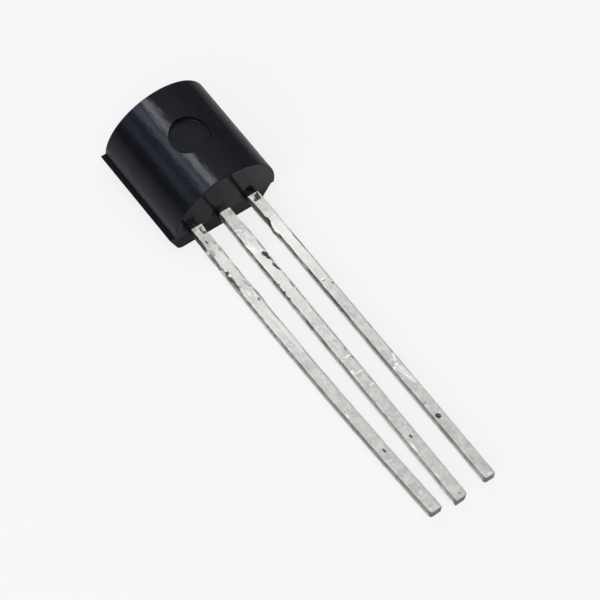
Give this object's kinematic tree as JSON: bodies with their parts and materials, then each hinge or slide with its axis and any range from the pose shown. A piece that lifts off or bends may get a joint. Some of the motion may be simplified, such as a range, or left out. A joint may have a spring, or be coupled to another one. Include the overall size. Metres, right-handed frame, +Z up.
{
  "type": "to-92 transistor",
  "caption": "Small plastic transistor lying on its flat side: a moulded body with a round half, flat half and ejector mark, round a lead frame with straight tinned leads, chip and bond wires.",
  "frame": {"origin": "middle of the flat face along the body, on the line of the middle lead", "axes": "+Z up, out of the round side; -Y along the leads, from the body to their tips; +X across the leads, towards the emitter lead"},
  "size_m": [0.0048, 0.019, 0.0033],
  "materials": {
    "moulding": "smooth black moulding compound with a soft sheen",
    "tinned_lead": "dull solder-dipped metal, cloudy, with dark sheared sides",
    "solder": "dull grey solder",
    "silicon": "polished dark grey silicon",
    "bond_wire": "drawn gold wire"
  },
  "bodies": {
    "root": {"moulded_body": "moulding", "base_lead": "tinned_lead", "collector_lead": "tinned_lead", "emitter_lead": "tinned_lead", "die_attach": "solder", "transistor_die": "silicon", "base_bond_wire": "bond_wire", "emitter_bond_wire": "bond_wire"}
  },
  "joints": []
}
